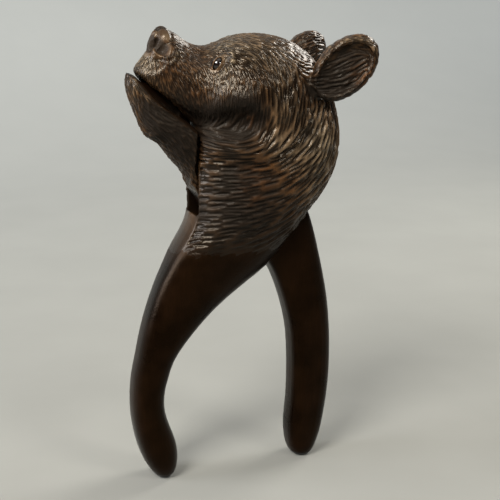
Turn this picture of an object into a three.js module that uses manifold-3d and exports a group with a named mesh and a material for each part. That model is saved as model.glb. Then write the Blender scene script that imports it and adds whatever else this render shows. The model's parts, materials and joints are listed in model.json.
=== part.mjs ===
// A carved wooden nutcracker in the shape of a bear's head: two levers on one hidden pin.
// Millimetres. X runs from the nose to the nape, Y across the head, Z up.
// Pieces are made round the pivot axis (x = 0, z = 0), and the finished group stands on its toes.
import * as THREE from 'three';
import { mergeVertices } from 'three/addons/utils/BufferGeometryUtils.js';
import Module from 'manifold-3d';

const wasm = await Module();
wasm.setup();

// Head and handles
const headLength = 100; // jaw tip to ear tips
const headHalfWidth = 25; // at the cheeks
const jawHalfWidth = 14;
const handleLength = 100; // fork to toes
const gripHalfWidth = 10; // front handle, below the neck
const toeWear = 0.7; // wood worn flat under each toe

// Slot and swing
const slotWidth = 16.8;
const tangClearance = 0.5; // each side of the tang in its slot
const swingClearance = 0.6; // round the rear lever's edge wherever it swings
const seamGap = 1.1; // jaw to neck at rest
const closeAngle = -1; // degrees, from the pose in which it stands
const openAngle = 24;
const swingSteps = 6;

// Pivot pin, set in a blind hole from the right side and covered by a plug
const pinDiameter = 5;
const boreClearance = 0.3; // round the pin, in the tang
const glueGap = 0.3; // round a piece that is glued or pressed in
const plugDiameter = 7;
const plugDepth = 5;

// Glass eyes on wire stems
const eyeDiameter = 5.6;
const eyeProudness = 1.3; // how far the glass stands out of the head
const stemDiameter = 1;
const stemLength = 5;
const stemClearance = 0.3;

// Ears
const earLength = 34;
const earWidth = 22.5;
const earThickness = 12;
const earRim = 2.5;
const earCupDepth = 4.5;
const earRise = 44; // degrees, root to tip above the horizontal
const earFlare = 10; // degrees, tip away from the head
const earTurn = 17; // degrees, cup towards the nose

// Nose and mouth, lying along the raised muzzle
const noseTilt = 30; // degrees
const mouthTilt = 39; // degrees, along the lips
const nosePadThickness = 10;
const nosePadWidth = 17;
const nosePadHeight = 14.5;
const nostrilDepth = 6;
const nostrilWidth = 4.6;
const nostrilHeight = 7;
const nostrilSpacing = 8.4;
const pocketLength = 27; // hollow in the palate that holds the nut
const pocketWidth = 16.8;
const pocketDepth = 9;
const dishLength = 27; // hollow in the jaw, round the tongue
const dishWidth = 16.4;
const dishDepth = 5.5;
const tongueLength = 31;
const tongueWidth = 12;
const tongueThickness = 7.2;

const overrun = 5; // how far a cut runs past what it cuts

// A row is one section of a carved stretch, seen from the side: its under edge (x, z), its upper
// edge (x, z), its half width, where the widest place lies between the edges, and how square the
// under and the upper half are (2 is round). The edges are shares of the stretch's length.
const headShares = [
  [-0.450, 0.595, -0.412, 0.660, 0.14, 0.50, 2.0, 2.0],
  [-0.464, 0.570, -0.392, 0.706, 0.32, 0.45, 2.3, 2.3],
  [-0.456, 0.541, -0.362, 0.734, 0.39, 0.42, 2.6, 2.2],
  [-0.433, 0.508, -0.322, 0.735, 0.43, 0.40, 2.8, 2.1],
  [-0.396, 0.475, -0.280, 0.713, 0.46, 0.38, 3.0, 2.1],
  [-0.358, 0.443, -0.235, 0.681, 0.49, 0.36, 3.0, 2.1],
  [-0.311, 0.406, -0.190, 0.667, 0.54, 0.38, 3.0, 2.2],
  [-0.270, 0.370, -0.140, 0.662, 0.62, 0.40, 2.6, 2.3],
  [-0.243, 0.335, -0.090, 0.683, 0.72, 0.42, 2.4, 2.4],
  [-0.240, 0.300, -0.030, 0.707, 0.83, 0.44, 2.3, 2.5],
  [-0.240, 0.265, 0.060, 0.716, 0.92, 0.46, 2.3, 2.5],
  [-0.240, 0.230, 0.155, 0.704, 0.98, 0.47, 2.3, 2.5],
  [-0.240, 0.195, 0.245, 0.668, 1.00, 0.48, 2.3, 2.4],
  [-0.240, 0.155, 0.326, 0.606, 1.00, 0.48, 2.3, 2.3],
  [-0.240, 0.115, 0.390, 0.517, 0.99, 0.48, 2.3, 2.3],
  [-0.240, 0.075, 0.431, 0.410, 0.98, 0.48, 2.3, 2.3],
  [-0.238, 0.040, 0.452, 0.300, 0.97, 0.48, 2.3, 2.3],
  [-0.236, 0.000, 0.450, 0.195, 0.95, 0.48, 2.3, 2.3],
  [-0.236, -0.040, 0.421, 0.097, 0.91, 0.48, 2.4, 2.3],
  [-0.244, -0.080, 0.366, 0.008, 0.86, 0.48, 2.5, 2.3],
];
const frontHandleShares = [
  [-0.262, -0.120, 0.298, -0.085, 1.96, 0.48, 2.6, 2.3],
  [-0.289, -0.165, 0.215, -0.187, 1.76, 0.48, 2.8, 2.3],
  [-0.320, -0.215, 0.118, -0.298, 1.55, 0.48, 3.0, 2.3],
  [-0.354, -0.280, 0.028, -0.366, 1.36, 0.50, 3.0, 2.3],
  [-0.388, -0.350, -0.052, -0.423, 1.22, 0.50, 3.0, 2.4],
  [-0.420, -0.430, -0.132, -0.488, 1.12, 0.50, 3.0, 2.4],
  [-0.447, -0.510, -0.202, -0.555, 1.06, 0.50, 3.0, 2.5],
  [-0.472, -0.600, -0.266, -0.626, 1.02, 0.50, 2.8, 2.5],
  [-0.489, -0.680, -0.322, -0.703, 1.00, 0.50, 2.6, 2.5],
  [-0.510, -0.770, -0.352, -0.785, 0.98, 0.50, 2.5, 2.5],
  [-0.519, -0.860, -0.372, -0.865, 0.97, 0.50, 2.5, 2.5],
  [-0.519, -0.950, -0.370, -0.945, 0.97, 0.50, 2.5, 2.5],
  [-0.510, -1.030, -0.349, -1.020, 0.98, 0.50, 2.5, 2.5],
  [-0.492, -1.110, -0.324, -1.095, 0.98, 0.50, 2.5, 2.5],
  [-0.464, -1.185, -0.315, -1.170, 0.93, 0.50, 2.4, 2.4],
  [-0.430, -1.240, -0.328, -1.236, 0.76, 0.50, 2.3, 2.3],
  [-0.400, -1.270, -0.354, -1.270, 0.34, 0.50, 2.0, 2.0],
];
const jawShares = [
  [-0.500, 0.542, -0.494, 0.560, 0.18, 0.50, 2.0, 2.0],
  [-0.504, 0.510, -0.474, 0.548, 0.44, 0.60, 2.0, 3.0],
  [-0.494, 0.465, -0.438, 0.506, 0.63, 0.70, 2.0, 4.0],
  [-0.476, 0.410, -0.400, 0.463, 0.74, 0.75, 2.0, 5.0],
  [-0.454, 0.350, -0.360, 0.426, 0.83, 0.75, 2.0, 5.0],
  [-0.424, 0.290, -0.316, 0.394, 0.91, 0.75, 2.0, 5.0],
  [-0.368, 0.256, -0.270, 0.362, 0.98, 0.75, 2.0, 5.0],
  [-0.326, 0.198, -0.226, 0.326, 1.01, 0.75, 2.0, 5.0],
  [-0.280, 0.145, -0.176, 0.285, 0.97, 0.75, 2.0, 5.0],
  [-0.236, 0.075, -0.130, 0.225, 0.83, 0.70, 2.0, 4.0],
  [-0.200, 0.035, -0.100, 0.145, 0.64, 0.60, 2.0, 4.0],
];
const rearHandleShares = [
  [0.000, -0.180, 0.262, 0.020, 1.00, 0.50, 6.0, 6.0],
  [0.055, -0.220, 0.300, -0.050, 1.00, 0.50, 6.0, 6.0],
  [0.112, -0.286, 0.333, -0.130, 1.00, 0.50, 4.5, 4.0],
  [0.153, -0.360, 0.362, -0.230, 1.00, 0.50, 4.0, 3.2],
  [0.186, -0.450, 0.393, -0.360, 1.00, 0.50, 3.6, 3.0],
  [0.215, -0.550, 0.418, -0.490, 1.00, 0.50, 3.6, 2.8],
  [0.233, -0.650, 0.432, -0.630, 1.00, 0.50, 3.6, 2.8],
  [0.240, -0.770, 0.436, -0.770, 1.00, 0.50, 3.6, 2.8],
  [0.240, -0.890, 0.430, -0.910, 1.00, 0.50, 3.4, 2.8],
  [0.235, -0.990, 0.416, -1.020, 1.00, 0.50, 3.2, 2.8],
  [0.225, -1.090, 0.398, -1.120, 1.00, 0.50, 3.0, 2.8],
  [0.228, -1.175, 0.378, -1.190, 0.97, 0.50, 2.8, 2.6],
  [0.245, -1.240, 0.352, -1.244, 0.86, 0.50, 2.4, 2.4],
  [0.280, -1.270, 0.322, -1.270, 0.40, 0.50, 2.0, 2.0],
];
const toeDropShare = 1.27; // of the handle's length, pivot to toes before wear

// The tang joins the jaw to the rear handle: its front end follows the head, its foot the handle.
const tangHeadShares = [[-0.245, 0.090], [-0.245, 0.300], [-0.210, 0.305], [-0.080, 0.220]].reverse();
const tangFootShares = [
  [-0.190, 0.000], [-0.140, -0.090], [-0.060, -0.155], [0.050, -0.200], [0.180, -0.200],
  [0.230, -0.100], [0.240, 0.010], [0.180, 0.080], [0.060, 0.155],
];
const neckFrontShare = -0.218; // of the head's length, the neck's flat front

// Places on the head (x, z), as shares of its length
const eyeShares = [-0.142, 0.592];
const earRootShares = [0.264, 0.458];
const earRootSpreadShare = 0.84; // of the head's half width
const nosePadShares = [-0.366, 0.681];
const nostrilShares = [-0.415, 0.676];
const pocketShares = [-0.352, 0.448];
const dishShares = [-0.366, 0.412];
const tongueShares = [-0.37, 0.428];

// Swellings and hollows of the head: place (x, z), reach along and across, as shares of the head's
// length, the turn in degrees, and the height as a share of the head's half width
const reliefShares = [
  { place: [-0.100, 0.645], along: 0.070, across: 0.035, turn: 29, height: 0.080 }, // brow
  { place: [-0.142, 0.590], along: 0.050, across: 0.040, turn: 46, height: -0.060 }, // eye socket
  { place: [-0.040, 0.475], along: 0.150, across: 0.070, turn: -20, height: 0.090 }, // cheek
  { place: [-0.120, 0.350], along: 0.150, across: 0.048, turn: -4, height: -0.200 }, // hollow under the cheek
  { place: [-0.080, 0.245], along: 0.150, across: 0.036, turn: -6, height: 0.080 }, // mane, under the hollow
  { place: [0.100, 0.350], along: 0.130, across: 0.050, turn: 62, height: 0.090 }, // mane, behind the hollow
  { place: [-0.060, 0.170], along: 0.130, across: 0.036, turn: -10, height: -0.070 }, // under the mane
  { place: [0.215, 0.290], along: 0.130, across: 0.032, turn: 58, height: -0.090 }, // behind the mane
  { place: [0.310, 0.260], along: 0.140, across: 0.050, turn: 70, height: 0.050 }, // ruff
];
const midlineShare = 0.3; // of the head's half width, where the relief fades out

const darkWood = { color: 0x3a2418, roughness: 0.45, metalness: 0 };
const steel = { color: 0x8d8a86, roughness: 0.35, metalness: 1 };
const blackGlass = { color: 0x0b0908, roughness: 0.05, metalness: 0 };
const ironWire = { color: 0x4b4744, roughness: 0.5, metalness: 1 };

const radians = THREE.MathUtils.degToRad;
const scaled = (shares, length) => shares.map(([x, z]) => [x * length, z * length]);

function solidOf(geometry) {
  const bare = geometry.clone();
  bare.deleteAttribute('normal');
  bare.deleteAttribute('uv');
  const merged = mergeVertices(bare);
  const vertProperties = merged.attributes.position.array;
  const triVerts = new Uint32Array(merged.index.array);
  return new wasm.Manifold(new wasm.Mesh({ numProp: 3, vertProperties, triVerts }));
}

function geometryOf(solid) {
  const { vertProperties, triVerts } = solid.getMesh();
  const geometry = new THREE.BufferGeometry();
  geometry.setAttribute('position', new THREE.Float32BufferAttribute(vertProperties, 3));
  geometry.setIndex(Array.from(triVerts));
  return geometry;
}

// Rows in millimetres from rows of shares
function rowsOf(shares, length, halfWidth) {
  return shares.map(([x1, z1, x2, z2, width, ...form]) => {
    const edges = [x1, z1, x2, z2].map((share) => share * length);
    return [...edges, width * halfWidth, ...form];
  });
}

// A row between the given ones, on a smooth curve through them
function rowAt(rows, t) {
  const i = Math.min(Math.floor(t), rows.length - 2);
  const u = t - i;
  const before = rows[Math.max(i - 1, 0)];
  const after = rows[Math.min(i + 2, rows.length - 1)];
  return rows[i].map((value, k) => {
    const next = rows[i + 1][k];
    const slope = (next - before[k]) / 2;
    const nextSlope = (after[k] - value) / 2;
    const bend = 3 * (next - value) - 2 * slope - nextSlope;
    const twist = 2 * (value - next) + slope + nextSlope;
    return value + u * (slope + u * (bend + u * twist));
  });
}

// One section: two half superellipses, from the under edge to the upper edge
function sectionOf([x1, z1, x2, z2, halfWidth, waist, underForm, upperForm], around) {
  return Array.from({ length: around }, (_, j) => {
    const turn = (2 * Math.PI * j) / around;
    const [up, out] = [Math.cos(turn), Math.sin(turn)];
    const form = up > 0 ? upperForm : underForm;
    const reach = Math.sign(up) * Math.abs(up) ** (2 / form);
    const along = waist + reach * (up > 0 ? 1 - waist : waist);
    const y = Math.sign(out) * Math.abs(out) ** (2 / form) * halfWidth;
    return new THREE.Vector3(x1 + (x2 - x1) * along, y, z1 + (z2 - z1) * along);
  });
}

// A closed skin through the sections of the rows, each point moved by relief
function carved(rows, around, stepsPerRow, relief = () => {}) {
  const steps = (rows.length - 1) * stepsPerRow;
  const points = [];
  for (let step = 0; step <= steps; step++) {
    points.push(...sectionOf(rowAt(rows, step / stepsPerRow), around));
  }
  points.forEach(relief);
  const first = points.length;
  points.push(middleOf(points.slice(0, around)));
  points.push(middleOf(points.slice(first - around, first)));
  const index = [];
  for (let j = 0; j < around; j++) {
    const next = (j + 1) % around;
    for (let step = 0; step < steps; step++) {
      const [a, b] = [step * around + j, step * around + next];
      index.push(a, b + around, b, a, a + around, b + around);
    }
    index.push(first, j, next, first + 1, first - around + next, first - around + j);
  }
  const geometry = new THREE.BufferGeometry().setFromPoints(points);
  geometry.setIndex(index);
  return geometry;
}

function middleOf(points) {
  return points.reduce((sum, point) => sum.add(point), new THREE.Vector3()).divideScalar(points.length);
}

// A plate with the given outline in the side view, centred across the head
function plate(outline, width) {
  const shape = new THREE.Shape(outline.map(([x, z]) => new THREE.Vector2(x, z)));
  const geometry = new THREE.ExtrudeGeometry(shape, { depth: width, bevelEnabled: false });
  return geometry.rotateX(Math.PI / 2).translate(0, width / 2, 0);
}

// An outline moved outwards by a distance
function grown(outline, distance) {
  const corners = outline.map(([x, z]) => new THREE.Vector2(x, z));
  const side = Math.sign(THREE.ShapeUtils.area(corners));
  const normalOf = (from, to) => {
    const edge = to.clone().sub(from).normalize();
    return new THREE.Vector2(edge.y, -edge.x).multiplyScalar(side);
  };
  return corners.map((corner, i) => {
    const before = normalOf(corners.at(i - 1), corner);
    const after = normalOf(corner, corners[(i + 1) % corners.length]);
    const reach = distance / (1 + before.dot(after));
    return corner.clone().add(before.add(after).multiplyScalar(reach)).toArray();
  });
}

// The side view of a carved stretch: down its under edge and back along its upper edge
function sideOf(rows) {
  const under = rows.map(([x, z]) => [x, z]);
  const upper = rows.map(([, , x, z]) => [x, z]);
  return [...under, ...upper.reverse()];
}

// All the space that a plate of the rear lever passes through, from closed to open
function swept(geometry) {
  let space = null;
  for (let step = 0; step <= swingSteps; step++) {
    const angle = closeAngle + ((openAngle - closeAngle) * step) / swingSteps;
    const there = solidOf(geometry.clone().rotateY(-radians(angle)));
    space = space ? space.add(there) : there;
  }
  return space;
}

// A rounded hollow or swelling at a place in the side view, tilted nose up, on the middle line
// or beside it
function lobe([xShare, zShare], tilt, length, width, height, sideways = 0) {
  const ball = new THREE.SphereGeometry(1 / 2, 20, 14).scale(length, width, height);
  ball.rotateY(radians(tilt)).translate(xShare * headLength, sideways, zShare * headLength);
  return solidOf(ball);
}

// A round bar or hole across the head, between two places
function crossBar(diameter, fromY, toY, x = 0, z = 0) {
  const bar = new THREE.CylinderGeometry(diameter / 2, diameter / 2, toY - fromY, 24);
  return solidOf(bar.translate(x, (fromY + toY) / 2, z));
}

// How far out the skin lies on the right side, at a place in the side view
function skinAt(geometry, x, z) {
  const mesh = new THREE.Mesh(geometry, new THREE.MeshBasicMaterial({ side: THREE.DoubleSide }));
  const start = new THREE.Vector3(x, 0, z);
  const hits = new THREE.Raycaster(start, new THREE.Vector3(0, 1, 0)).intersectObject(mesh);
  return hits.at(-1).distance;
}

function headRelief(point) {
  const edge = midlineShare * headHalfWidth;
  const side = THREE.MathUtils.clamp(point.y / edge, -1, 1);
  for (const { place, along, across, turn, height } of reliefShares) {
    const offset = new THREE.Vector2(point.x / headLength - place[0], point.z / headLength - place[1]);
    offset.rotateAround(new THREE.Vector2(), -radians(turn));
    const fade = Math.exp(-((offset.x / along) ** 2) - (offset.y / across) ** 2);
    point.y += side * fade * height * headHalfWidth;
  }
}

const tangWidth = slotWidth - 2 * tangClearance;
const neckFront = neckFrontShare * headLength;
const headRows = rowsOf(headShares, headLength, headHalfWidth);
const frontRows = [...headRows, ...rowsOf(frontHandleShares, handleLength, gripHalfWidth)];
const jawRows = rowsOf(jawShares, headLength, jawHalfWidth);
const rearRows = rowsOf(rearHandleShares, handleLength, tangWidth / 2);
const tangOutline = [...scaled(tangHeadShares, headLength), ...scaled(tangFootShares, handleLength)];
const frontSkin = carved(frontRows, 36, 2, headRelief);

const sides = { left: -1, right: 1 };
const eyeX = eyeShares[0] * headLength;
const eyeZ = eyeShares[1] * headLength;
const eyeRadius = eyeDiameter / 2;
const eyeY = skinAt(frontSkin, eyeX, eyeZ) + eyeProudness - eyeRadius;
const stemEnd = eyeY - eyeRadius - glueGap;
const neckSkin = skinAt(frontSkin, 0, 0);
const pinReach = neckSkin - plugDepth - 2 * glueGap; // either way from the middle
const floorZ = -toeDropShare * handleLength + toeWear;

function belowToes() {
  const reach = headLength + handleLength;
  const under = [[-reach, floorZ], [reach, floorZ], [reach, floorZ - reach], [-reach, floorZ - reach]];
  return solidOf(plate(under, reach));
}

// The room in front of the neck's flat front, with the gap to the jaw taken off or given
function beforeNeck(gap) {
  const reach = headLength + handleLength;
  const x = neckFront - gap;
  return solidOf(plate([[-reach, -reach], [x, -reach], [x, reach], [-reach, reach]], reach));
}

function jawRoom(clearance) {
  const room = solidOf(plate(grown(sideOf(jawRows), clearance), 2 * (headHalfWidth + overrun)));
  return room.intersect(beforeNeck(seamGap - clearance));
}

function earParts(side) {
  const length = new THREE.Vector3(Math.cos(radians(earRise)), 0, Math.sin(radians(earRise)));
  length.y = side * Math.sin(radians(earFlare));
  length.normalize();
  const facing = new THREE.Vector3(-Math.sin(radians(earTurn)), side * Math.cos(radians(earTurn)), 0);
  facing.addScaledVector(length, -facing.dot(length)).normalize();
  const across = new THREE.Vector3().crossVectors(facing, length);
  const turn = new THREE.Matrix4().makeBasis(length, across, facing);
  const root = new THREE.Vector3(earRootShares[0] * headLength, 0, earRootShares[1] * headLength);
  root.y = side * earRootSpreadShare * headHalfWidth;
  const ball = (long, wide, thick, out) => {
    const geometry = new THREE.SphereGeometry(1 / 2, 24, 16).scale(long, wide, thick).applyMatrix4(turn);
    const centre = root.clone().addScaledVector(length, long / 2).addScaledVector(facing, out);
    return solidOf(geometry.translate(centre.x, centre.y, centre.z));
  };
  const shell = ball(earLength, earWidth, earThickness, 0);
  const cupOut = (earThickness - earRim) / 2;
  const cup = ball(earLength - earRim, earWidth - 2 * earRim, 2 * earCupDepth, cupOut);
  return { shell, cup };
}

function nostril(side) {
  const aside = (side * nostrilSpacing) / 2;
  return lobe(nostrilShares, noseTilt, nostrilDepth, nostrilWidth, nostrilHeight, aside);
}

function frontLever() {
  let lever = solidOf(frontSkin);
  lever = lever.add(lobe(nosePadShares, noseTilt, nosePadThickness, nosePadWidth, nosePadHeight));
  for (const side of Object.values(sides)) {
    const { shell, cup } = earParts(side);
    lever = lever.add(shell).subtract(cup);
    lever = lever.subtract(nostril(side));
    lever = lever.subtract(eyeBall(side, eyeDiameter + 2 * glueGap));
    lever = lever.subtract(eyeStem(side, stemDiameter + 2 * stemClearance, stemClearance));
  }
  lever = lever.subtract(lobe(pocketShares, mouthTilt, pocketLength, pocketWidth, 2 * pocketDepth));
  for (const outline of [tangOutline, sideOf(rearRows)]) {
    lever = lever.subtract(swept(plate(grown(outline, swingClearance), slotWidth)));
  }
  lever = lever.subtract(jawRoom(seamGap)).subtract(swept(geometryOf(jawRoom(swingClearance))));
  lever = lever.subtract(crossBar(pinDiameter + 2 * glueGap, -pinReach - glueGap, neckSkin + overrun));
  lever = lever.subtract(crossBar(plugDiameter + 2 * glueGap, pinReach + glueGap, neckSkin + overrun));
  return lever.subtract(belowToes());
}

function rearLever() {
  let jaw = solidOf(carved(jawRows, 28, 2)).intersect(beforeNeck(seamGap));
  jaw = jaw.subtract(lobe(dishShares, mouthTilt, dishLength, dishWidth, 2 * dishDepth));
  const tongue = lobe(tongueShares, mouthTilt, tongueLength, tongueWidth, tongueThickness);
  jaw = jaw.add(tongue.intersect(beforeNeck(seamGap)));
  const tang = solidOf(plate(tangOutline, tangWidth));
  const handle = solidOf(carved(rearRows, 24, 2));
  const bore = crossBar(pinDiameter + 2 * boreClearance, -slotWidth, slotWidth);
  return jaw.add(tang).add(handle).subtract(bore).subtract(belowToes());
}

function pivotPin() {
  return crossBar(pinDiameter, -pinReach, pinReach);
}

// The plug ends flush with the carved neck
function pinPlug() {
  const plug = crossBar(plugDiameter, pinReach + 2 * glueGap, neckSkin + overrun);
  return plug.intersect(solidOf(frontSkin));
}

function eyeBall(side, diameter) {
  const ball = new THREE.SphereGeometry(diameter / 2, 18, 12);
  return solidOf(ball.translate(eyeX, side * eyeY, eyeZ));
}

function eyeStem(side, diameter, overlap) {
  const reach = [side * (stemEnd - stemLength - overlap), side * (stemEnd + 2 * overlap)];
  return crossBar(diameter, Math.min(...reach), Math.max(...reach), eyeX, eyeZ);
}

const nutcracker = new THREE.Group();

function place(name, solid, look) {
  const mesh = new THREE.Mesh(geometryOf(solid), new THREE.MeshStandardMaterial(look));
  mesh.name = name;
  nutcracker.add(mesh);
}

place('front_lever', frontLever(), darkWood);
place('rear_lever', rearLever(), darkWood);
place('pivot_pin', pivotPin(), steel);
place('pin_plug', pinPlug(), darkWood);
for (const [name, side] of Object.entries(sides)) {
  place(`${name}_glass_eye`, eyeBall(side, eyeDiameter), blackGlass);
  place(`${name}_eye_wire`, eyeStem(side, stemDiameter, 0), ironWire);
}

// The origin is under the middle of the part, on the surface that it stands on
const bounds = new THREE.Box3().setFromObject(nutcracker);
const middle = bounds.getCenter(new THREE.Vector3());
nutcracker.position.set(-middle.x, -middle.y, -bounds.min.z);

export default nutcracker;
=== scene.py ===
import json
import math
import bmesh
import bpy
import numpy as np
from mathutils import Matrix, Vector
from mathutils.bvhtree import BVHTree


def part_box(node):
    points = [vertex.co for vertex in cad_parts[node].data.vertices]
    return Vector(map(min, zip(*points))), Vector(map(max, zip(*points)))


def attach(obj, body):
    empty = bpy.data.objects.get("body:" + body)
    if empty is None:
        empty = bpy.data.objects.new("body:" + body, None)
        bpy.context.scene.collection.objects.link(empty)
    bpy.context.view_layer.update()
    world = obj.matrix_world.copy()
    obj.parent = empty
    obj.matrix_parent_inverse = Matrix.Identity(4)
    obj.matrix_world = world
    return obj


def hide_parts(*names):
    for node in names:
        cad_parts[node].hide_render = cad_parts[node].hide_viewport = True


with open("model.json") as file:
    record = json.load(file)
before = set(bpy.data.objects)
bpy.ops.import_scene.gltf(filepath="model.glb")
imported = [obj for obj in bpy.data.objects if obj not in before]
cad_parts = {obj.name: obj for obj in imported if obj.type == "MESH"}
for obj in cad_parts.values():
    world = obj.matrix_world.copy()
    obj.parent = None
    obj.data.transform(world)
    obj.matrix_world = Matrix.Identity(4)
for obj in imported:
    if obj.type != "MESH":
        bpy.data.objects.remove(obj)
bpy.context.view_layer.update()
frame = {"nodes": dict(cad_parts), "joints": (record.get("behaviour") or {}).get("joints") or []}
nodes = frame["nodes"]
pivot = np.array(frame["joints"][0]["pos_m"]) * 1000   # the pin's middle in mm: carving is worked out from it

# the photograph's own viewing angle in degrees, mm from the pin, and mm of lens against pixels of frame
cameraView = {"azimuth": -20, "elevation": 14, "distance": 450, "aim": (4.7, 0, -24.1),
              "lens": 72, "sensor": 36, "frame": 500}

turn, lift = math.radians(cameraView["azimuth"]), math.radians(cameraView["elevation"])
lookAlong = np.array([-math.sin(turn) * math.cos(lift), math.cos(turn) * math.cos(lift), -math.sin(lift)])
lookRight = np.array([math.cos(turn), math.sin(turn), 0.0])
lookUp = np.cross(lookRight, lookAlong)
eyePoint = np.array(cameraView["aim"]) - lookAlong * cameraView["distance"]


def placeCamera():
    camera = bpy.data.objects.new("photoCamera", bpy.data.cameras.new("photoCamera"))
    camera.data.lens, camera.data.sensor_width = cameraView["lens"], cameraView["sensor"]
    camera.data.clip_start, camera.data.clip_end = 0.01, 20
    camera.location = (eyePoint + pivot) / 1000
    camera.rotation_euler = Vector(-lookAlong).to_track_quat("Z", "Y").to_euler()
    bpy.context.scene.collection.objects.link(camera)
    bpy.context.scene.camera = camera
    print("camera placed")


def pixelRay(px, py):   # unit direction of a photograph pixel's ray
    half, focal = cameraView["frame"] / 2, cameraView["lens"] / cameraView["sensor"] * cameraView["frame"]
    ray = lookAlong + lookRight * (px - half) / focal - lookUp * (py - half) / focal
    return ray / np.linalg.norm(ray)


placeCamera()


def unit(v):
    return v / np.maximum(np.linalg.norm(v, axis=-1, keepdims=True), 1e-9)


def ramp(x, low, high):   # 0 below low, 1 above high, smooth between
    q = np.clip((x - low) / (high - low), 0, 1)
    return q * q * (3 - 2 * q)


def pointsOf(mesh):   # vertex places in mm from the pin, and their normals
    co = np.empty(len(mesh.vertices) * 3)
    mesh.vertices.foreach_get("co", co)
    normals = np.empty(len(mesh.vertices) * 3)
    mesh.vertex_normals.foreach_get("vector", normals)
    return co.reshape(-1, 3) * 1000 - pivot, normals.reshape(-1, 3)


def movePoints(mesh, points):
    mesh.vertices.foreach_set("co", ((points + pivot) / 1000).ravel())
    mesh.update()


def readBack(mesh, name):
    values = np.empty(len(mesh.vertices), np.float32)
    mesh.attributes[name].data.foreach_get("value", values)
    return values.astype(float)


def keepOn(mesh, name, values):   # a value per vertex for the finish to read
    layer = mesh.attributes.get(name) or mesh.attributes.new(name, "FLOAT", "POINT")
    layer.data.foreach_set("value", np.asarray(values, np.float32))


def edgeEnds(mesh):   # both ends of every edge, and how many edges meet at each vertex
    ends = np.empty(len(mesh.edges) * 2, np.int64)
    mesh.edges.foreach_get("vertices", ends)
    return ends[0::2], ends[1::2], np.bincount(ends, minlength=len(mesh.vertices))


def fairer(mesh, points, rounds, strength=None):   # melts facets: each pull in is undone by a push out
    a, b, count = edgeEnds(mesh)
    share = 1 if strength is None else strength[:, None]
    pullIn, pushOut = 0.5, -0.53
    for step in range(rounds * 2):
        middle, n = np.empty_like(points), len(points)
        for k in range(3):
            middle[:, k] = np.bincount(a, points[b, k], n) + np.bincount(b, points[a, k], n)
        weight = pullIn if step % 2 == 0 else pushOut
        points = points + weight * share * (middle / count[:, None] - points)
    return points


def blurred(mesh, values, rounds):   # each value drawn towards its neighbours'
    a, b, count = edgeEnds(mesh)
    for _ in range(rounds):
        beside = np.bincount(a, values[b], len(values)) + np.bincount(b, values[a], len(values))
        values = (values + beside / count) / 2
    return values


def nearPairs(a, b, reach):   # index pairs of points of a and b in neighbouring cells of size reach
    low = np.minimum(a.min(0), b.min(0)) - reach
    cells = lambda p: np.floor((p - low) / reach).astype(np.int64) + 1
    ca, cb = cells(a), cells(b)
    span = np.maximum(ca.max(0), cb.max(0)) + 2
    keyOf = lambda c: (c[:, 0] * span[1] + c[:, 1]) * span[2] + c[:, 2]
    order = np.argsort(keyOf(cb), kind="stable")
    sortedKeys = keyOf(cb)[order]
    for dx in (-1, 0, 1):
        for dy in (-1, 0, 1):
            for dz in (-1, 0, 1):
                want = keyOf(ca + (dx, dy, dz))
                start = np.searchsorted(sortedKeys, want, "left")
                n = np.searchsorted(sortedKeys, want, "right") - start
                first = np.repeat(np.arange(len(a)), n)
                inside = np.arange(n.sum()) - np.repeat(np.cumsum(n) - n, n)
                yield first, order[np.repeat(start, n) + inside]


def pieceFrom(bm, name):   # a bmesh made into a linked object
    mesh = bpy.data.meshes.new(name)
    bm.to_mesh(mesh)
    bm.free()
    piece = bpy.data.objects.new(name, mesh)
    bpy.context.scene.collection.objects.link(piece)
    return piece


def meshFromNode(nodeName, pieceName, balls=()):   # a copy of a CAD part's mesh, doubles merged, balls added
    bm = bmesh.new()
    bm.from_mesh(nodes[nodeName].data)
    bmesh.ops.remove_doubles(bm, verts=bm.verts, dist=2e-6)
    for centre, radius in balls:
        made = bmesh.ops.create_uvsphere(bm, u_segments=32, v_segments=16, radius=radius)
        bmesh.ops.translate(bm, verts=made["verts"], vec=centre)
    return pieceFrom(bm, pieceName)


def applyModifiers(piece):
    bpy.context.view_layer.update()
    made = bpy.data.meshes.new_from_object(piece.evaluated_get(bpy.context.evaluated_depsgraph_get()))
    piece.modifiers.clear()
    made.name = piece.name
    piece.data = made


def evenQuads(piece, voxel):   # a remesh in even quads, their size in mm
    remesh = piece.modifiers.new("evenQuads", "REMESH")
    remesh.mode, remesh.voxel_size, remesh.adaptivity = "VOXEL", voxel / 1000, 0
    applyModifiers(piece)


def triangleCount(mesh):
    return sum(len(f.vertices) - 2 for f in mesh.polygons)


def lighter(piece, most):   # collapses the least needed edges, down to a number of triangles
    now = triangleCount(piece.data)
    if now > most:
        piece.modifiers.new("lighter", "DECIMATE").ratio = most / now
        applyModifiers(piece)


def smoothShaded(mesh):
    mesh.polygons.foreach_set("use_smooth", [True] * len(mesh.polygons))


def finer(piece, wanted):   # every face with a wanted corner is cut in four
    bm = bmesh.new()
    bm.from_mesh(piece.data)
    bm.verts.ensure_lookup_table()
    cut = {e for v, w in zip(bm.verts, wanted) if w for f in v.link_faces for e in f.edges}
    bmesh.ops.subdivide_edges(bm, edges=list(cut), cuts=1, use_grid_fill=True)
    bm.to_mesh(piece.data)
    bm.free()


def surfaceOf(mesh):   # a tree in mm from the pin, for rays and nearest points
    points, _ = pointsOf(mesh)
    return BVHTree.FromPolygons([tuple(p) for p in points], [tuple(f.vertices) for f in mesh.polygons])


def seenAt(surface, px, py):   # place and normal that a pixel shows, or the nearest where it just misses
    start, ray = Vector(eyePoint), Vector(pixelRay(px, py))
    hit = surface.ray_cast(start, ray)
    if hit[0] is None:
        depths = np.arange(-40, 41, 0.5) + cameraView["distance"]
        hit = min((surface.find_nearest(start + ray * d) for d in depths), key=lambda found: found[3])
    return np.array(hit[0]), np.array(hit[1])


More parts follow.
